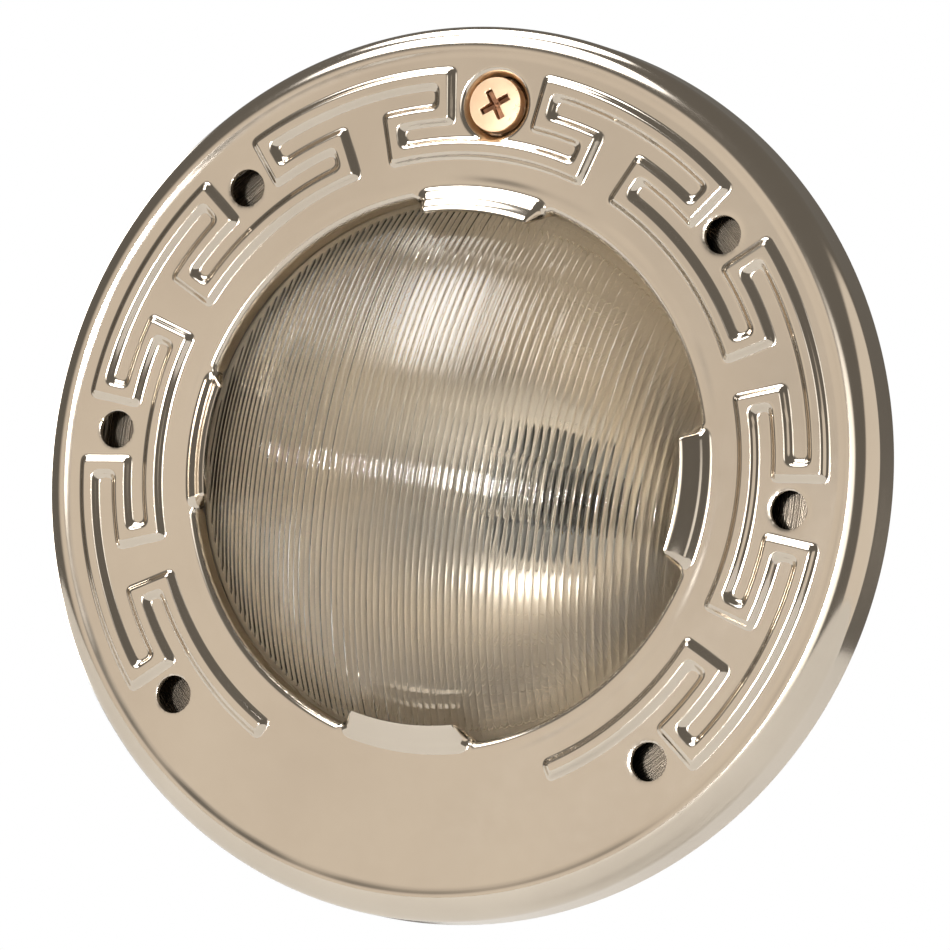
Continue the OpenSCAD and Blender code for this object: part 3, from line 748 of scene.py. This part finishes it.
def build_lens(steps=192):
    """A closed solid: fluted front cap, flange ring, and smooth rear cap."""
    inner_reach = math.sqrt((DOME_R - GLASS) ** 2 - (FLANGE_BACK - DOME_CENTRE) ** 2)
    work = bmesh.new()
    front_rim = add_cap(work, lens_front(), FRONT_COLUMNS, FRONT_ROWS, False)
    back_rim = add_cap(work, lens_back(inner_reach), BACK_STEPS, BACK_STEPS, True)
    flange = flange_profile(inner_reach)
    ring = [work.verts.new(p) for p in placed(turned(flange, steps))]
    for quad in grid_quads(len(flange), steps).tolist():
        work.faces.new([ring[i] for i in quad])
    bridge_rims(work, front_rim, ring[:steps])
    bridge_rims(work, back_rim, ring[-steps:])
    obj = finished(bpy.data.meshes.new("lens_dome"), work, [FINISHES["lens_glass"]], 50.0)
    return settle(obj, "light", "lens_glass", "lens")


def bridge_rims(work, first, second):
    """Triangles between two closed rims round the same axis, matched by angle."""
    def bearing(point):
        return math.atan2(point.co.z, point.co.x)

    def angle(loop, i):
        return bearing(loop[i % len(loop)]) + 2 * math.pi * (i // len(loop))

    a, b = sorted(first, key=bearing), sorted(second, key=bearing)
    i = j = 0
    while i < len(a) or j < len(b):
        if j >= len(b) or (i < len(a) and angle(a, i + 1) <= angle(b, j + 1)):
            trio = (a[i % len(a)], a[(i + 1) % len(a)], b[j % len(b)])
            i += 1
        else:
            trio = (a[i % len(a)], b[(j + 1) % len(b)], b[j % len(b)])
            j += 1
        if len(set(trio)) == 3 and not work.faces.get(trio):
            work.faces.new(trio)


# ---------------------------------------------------------------- screws

def cross_depth(x, y):
    """Depth of a cross recess whose arms narrow and rise towards their ends."""
    half_length, half_width, full = 2.9, 0.66, 1.7
    depth = np.zeros_like(x)
    for u, v in ((x, y), (y, x)):
        width = half_width * (1.0 - 0.12 * np.abs(u) / half_length)
        inside = np.minimum(width - np.abs(v), (half_length - np.abs(u)) * 0.9)
        level = full * (1.0 - 0.55 * np.abs(u) / half_length)
        depth = np.maximum(depth, level * smooth(inside / 0.2 + 0.4))
    return depth


def head_face(reach, rows, steps):
    """Points of a round head's top with its cross, from the rim inwards."""
    radii = np.linspace(reach, 0.04, rows)
    turn = np.linspace(0, 2 * math.pi, steps, endpoint=False)
    x, y = radii[:, None] * np.cos(turn), radii[:, None] * np.sin(turn)
    lean = math.radians(-RECESS_TURN)
    depth = cross_depth(x * math.cos(lean) - y * math.sin(lean), x * math.sin(lean) + y * math.cos(lean))
    crown = 0.10 * (1 - (radii[:, None] / reach) ** 2) - 0.10
    return x, y, crown - depth, depth


def thread_rows(top, bottom, core, crest, pitch, steps):
    """Radius of a helical thread on a grid of levels and angles."""
    levels = np.linspace(top, bottom, int(abs(top - bottom) / pitch * 10) + 2)
    turn = np.linspace(0, 2 * math.pi, steps, endpoint=False)
    phase = (levels[:, None] / pitch + turn[None, :] / (2 * math.pi)) % 1.0
    fade = smooth((top - levels) / pitch) * smooth((levels - bottom) / pitch)
    ridge = np.clip(1.6 * (1 - np.abs(2 * phase - 1)) - 0.3, 0, 1)
    return levels, turn, core + (crest - core) * ridge * fade[:, None]


def build_pilot_screw(steps=144, face_rows=44):
    """Bronze pan-head screw: crossed head, bevelled edge, plain shank and rolled thread."""
    face_x, face_y, face_z, depth = head_face(HEAD_R - HEAD_BEVEL, face_rows, steps)
    shape = [(HEAD_R - 0.3 * HEAD_BEVEL, HEAD_TOP - 0.3 * HEAD_BEVEL), (HEAD_R, HEAD_TOP - HEAD_BEVEL),
             (HEAD_R, HEAD_BASE + 0.15), (HEAD_R - 0.15, HEAD_BASE),
             (PILOT_SHANK_R + 0.2, HEAD_BASE), (PILOT_SHANK_R, HEAD_BASE - 0.2)]
    thread_top = PILOT_END + PILOT_THREAD
    core = PILOT_SHANK_R - 0.1
    levels, turn, reach = thread_rows(thread_top, PILOT_END + 0.6, core, PILOT_R, PILOT_PITCH, steps)
    tip = [(PILOT_SHANK_R - 0.5, PILOT_END), (0.05, PILOT_END)]
    side = turned(shape, steps).reshape(-1, steps, 3)
    body = np.stack([reach * np.cos(turn), reach * np.sin(turn), np.repeat(levels[:, None], steps, 1)], -1)
    end = turned(tip, steps).reshape(-1, steps, 3)
    face = np.stack([face_x, face_y, face_z + HEAD_TOP], -1)[::-1]
    grid = np.concatenate([face, side, body, end])
    points = grid.reshape(-1, 3) + (0.0, HOLE_CIRCLE, 0.0)
    faces = grid_quads(len(grid), steps).tolist()
    faces.append(list(range(steps)))
    faces.append(list(range((len(grid) - 1) * steps, len(grid) * steps)))
    obj = mesh_object("pilot_screw_body", placed(points), faces,
                      [FINISHES["copper_alloy_screw"], recess_brown()], 38.0)
    sunk = (depth[::-1] > 0.25).reshape(-1)
    dark = np.zeros(len(points), bool)
    dark[:len(sunk)] = sunk
    bevel_rows = slice(len(sunk) + steps, len(sunk) + 2 * steps)
    dark[bevel_rows] = True
    for poly in obj.data.polygons:
        if all(dark[i] for i in poly.vertices):
            poly.material_index = 1
    return settle(obj, "pilot_screw", "copper_alloy_screw", "pilot_screw")


# ---------------------------------------------------------------- reflector

def build_reflector():
    """Spun bowl with a rolled rim, as one smooth turned sheet."""
    radii = np.linspace(BOWL_FOOT_R, BOWL_RIM_R, 60)
    bowl = BOWL_FOOT_Z + BOWL_DEPTH * ((radii - BOWL_FOOT_R) / (BOWL_RIM_R - BOWL_FOOT_R)) ** 1.7
    front = [(r, z + BOWL_SHEET) for r, z in zip(radii, bowl)] + [(BOWL_RIM_R + 1, RIM_Z), (FLANGE_R, RIM_Z)]
    rear = [(FLANGE_R, RIM_Z - BOWL_SHEET), (BOWL_RIM_R + 1, RIM_Z - BOWL_SHEET)]
    rear += [(r, z) for r, z in zip(radii[::-1], bowl[::-1])]
    obj = lathe("reflector_bowl", front + rear, [FINISHES["reflector_aluminium"]], 192, ring=True)
    return settle(obj, "light", "reflector_aluminium", "reflector")


# ---------------------------------------------------------------- carried-over CAD nodes

NODE_SLOTS = {
    "seat_ring": "stainless_shell", "niche_hook": "stainless_shell", "gum_washer": "gum_rubber",
    "lens_gasket": "silicone", "shell": "stainless_shell", "clamp_band": "stainless_shell",
    "plain_trunnion": "stainless_fasteners", "threaded_trunnion": "stainless_fasteners",
    "clamp_washer": "stainless_fasteners", "clamp_screw": "stainless_fasteners",
    "lamp_envelope": "quartz", "lamp_filament": "tungsten", "lamp_base": "nickel_shell",
    "lamp_insulator": "vitrite", "lamp_contact": "brass", "socket_body": "porcelain",
    "socket_liner": "brass", "socket_contact": "brass", "socket_bracket": "stainless_fasteners",
    "socket_screws": "stainless_fasteners", "socket_nuts": "stainless_fasteners",
    "bracket_studs": "stainless_fasteners", "bracket_nuts": "stainless_fasteners",
    "black_lead": "black_sleeving", "white_lead": "white_sleeving", "green_lead": "green_sleeving",
    "splice_caps": "cap_plastic", "ground_stud": "stainless_fasteners", "ring_terminal": "nickel_shell",
    "ground_nut": "green_zinc", "gland_body": "brass", "gland_oring": "gum_rubber",
    "gland_locknut": "brass", "gland_grommet": "gum_rubber", "slip_ring": "brass", "gland_nut": "brass",
    "bond_stud": "stainless_fasteners", "bond_lug": "bond_copper", "bond_nut": "stainless_fasteners",
    "bond_set_screw": "stainless_fasteners",
}

BEVELS = {"niche_hook": 0.25, "clamp_band": 0.2, "gland_body": 0.35, "gland_nut": 0.45, "bond_lug": 0.5,
          "bond_nut": 0.3, "bond_set_screw": 0.15, "clamp_washer": 0.15, "clamp_screw": 0.2,
          "plain_trunnion": 0.25, "threaded_trunnion": 0.25, "seat_ring": 0.15, "gum_washer": 0.3,
          "gland_grommet": 0.3, "slip_ring": 0.15, "socket_body": 0.5, "socket_bracket": 0.2}


def soften(obj, width_mm):
    """Welds the import's split points and rounds the sharp edges."""
    weld = obj.modifiers.new("weld", "WELD")
    weld.merge_threshold = 1e-6
    bevel = obj.modifiers.new("bevel", "BEVEL")
    bevel.width = width_mm * MM
    bevel.segments = 2
    bevel.limit_method = "ANGLE"
    bevel.angle_limit = math.radians(38)
    bevel.harden_normals = True


def dress_nodes():
    """Gives every CAD node that is still shown its finish and its eased edges."""
    shade_darkened_collar = collar_painted_shade()
    # The seat ring takes the darkened collar finish, whose dark colour is painted shade behind the ring's
    # relief holes.
    for name, slot in NODE_SLOTS.items():
        obj = NODES[name]
        obj.data.materials.clear()
        obj.data.materials.append(shade_darkened_collar if name == "seat_ring" else FINISHES[slot])
        if name in BEVELS:
            soften(obj, BEVELS[name])


# ---------------------------------------------------------------- studio

def add_camera():
    azimuth, elevation = math.radians(CAMERA_AZIMUTH), math.radians(CAMERA_ELEVATION)
    roll = math.radians(CAMERA_ROLL)
    back = Vector((math.sin(azimuth) * math.cos(elevation), -math.cos(azimuth) * math.cos(elevation),
                   math.sin(elevation)))
    level = Vector((math.cos(azimuth), math.sin(azimuth), 0.0))
    right = level * math.cos(roll) + back.cross(level) * math.sin(roll)
    up = back.cross(right)
    data = bpy.data.cameras.new("camera")
    data.lens = CAMERA_LENS
    data.sensor_width = SENSOR
    data.clip_start = 0.01
    obj = bpy.data.objects.new("camera", data)
    turn = Matrix((right, up, back)).transposed().to_4x4()
    obj.matrix_world = Matrix.Translation(CAMERA_TARGET + back * CAMERA_DISTANCE) @ turn
    bpy.context.scene.collection.objects.link(obj)
    bpy.context.scene.camera = obj


def add_floor():
    """Plain pale round floor well below the light."""
    material = Finish("floor_paper", (0.62, 0.61, 0.59), 0.8)
    material.colour(material.blend(material.noise(3, 2), (0.64, 0.63, 0.61), (0.60, 0.59, 0.57)))
    work = bmesh.new()
    bmesh.ops.create_circle(work, cap_ends=True, radius=1.6, segments=96)
    mesh = bpy.data.meshes.new("floor")
    work.to_mesh(mesh)
    work.free()
    mesh.materials.append(material.material)
    obj = bpy.data.objects.new("floor", mesh)
    obj.location = (0, 0, -0.32)
    bpy.context.scene.collection.objects.link(obj)


def softbox(world, direction, radiance, inner, outer, colour):
    """A soft-edged bright disc in the sky of the studio; inner and outer are in degrees."""
    nodes, links = world.node_tree.nodes, world.node_tree.links
    place = nodes.new("ShaderNodeTexCoord")
    dot = nodes.new("ShaderNodeVectorMath")
    dot.operation = "DOT_PRODUCT"
    dot.inputs[1].default_value = Vector(direction).normalized()
    links.new(place.outputs["Generated"], dot.inputs[0])
    edge = nodes.new("ShaderNodeMapRange")
    edge.interpolation_type = "SMOOTHSTEP"
    edge.inputs["From Min"].default_value = math.cos(math.radians(outer))
    edge.inputs["From Max"].default_value = math.cos(math.radians(inner))
    edge.inputs["To Max"].default_value = radiance
    links.new(dot.outputs["Value"], edge.inputs["Value"])
    light = nodes.new("ShaderNodeBackground")
    light.inputs["Color"].default_value = (*colour, 1.0)
    links.new(edge.outputs[0], light.inputs["Strength"])
    return light.outputs[0]


SOFTBOXES = (
    # direction, radiance, full within, gone beyond (degrees), colour
    ((-0.40, -0.55, 0.73), 7.0, 15, 20, (1.0, 1.0, 1.0)),
    ((-0.40, 0.12, 0.91), 7.0, 14, 19, (1.0, 1.0, 1.0)),
    ((-0.83, 0.56, 0.05), 6.0, 15, 20, (1.0, 1.0, 1.0)),
    ((-0.52, -0.85, -0.02), 0.66, 4, 26, (1.0, 0.89, 0.76)),
    ((0.07, -0.99, 0.02), 1.6, 7, 18, (1.0, 0.97, 0.92)),
    ((-0.09, -0.99, -0.03), 190.0, 2.2, 3.8, (1.0, 1.0, 1.0)),
    ((0.96, 0.29, 0.05), 0.70, 40, 48, (1.0, 0.91, 0.80)),
)


def add_world():
    """A white studio for the camera, and soft lights round the light for its reflections."""
    world = bpy.data.worlds.new("studio")
    bpy.context.scene.world = world
    world.use_nodes = True
    nodes, links = world.node_tree.nodes, world.node_tree.links
    room = nodes["Background"]
    room.inputs["Color"].default_value = (1.0, 0.93, 0.83, 1.0)
    room.inputs["Strength"].default_value = 0.17
    total = room.outputs[0]
    for box in SOFTBOXES:
        both = nodes.new("ShaderNodeAddShader")
        links.new(total, both.inputs[0])
        links.new(softbox(world, *box), both.inputs[1])
        total = both.outputs[0]
    paper = nodes.new("ShaderNodeBackground")
    paper.inputs["Color"].default_value = (1.0, 1.0, 1.0, 1.0)
    seen = nodes.new("ShaderNodeLightPath")
    mix = nodes.new("ShaderNodeMixShader")
    links.new(seen.outputs["Is Camera Ray"], mix.inputs[0])
    links.new(total, mix.inputs[1])
    links.new(paper.outputs[0], mix.inputs[2])
    links.new(mix.outputs[0], nodes["World Output"].inputs["Surface"])


def add_key_light():
    """One large soft area light above and to the left, for gentle shadows."""
    data = bpy.data.lights.new("key", "AREA")
    data.shape = "DISK"
    data.size = 0.7
    data.energy = 4
    data.color = (1.0, 0.98, 0.95)
    obj = bpy.data.objects.new("key", data)
    obj.location = (-0.7, -0.9, 1.2)
    obj.rotation_euler = Vector((0.7, 0.9, -1.2)).to_track_quat("-Z", "Y").to_euler()
    bpy.context.scene.collection.objects.link(obj)


add_camera()
add_floor()
add_world()
add_key_light()
build_face_ring()
build_lens()
build_pilot_screw()
build_reflector()
dress_nodes()
bpy.context.scene.view_settings.view_transform = "Standard"
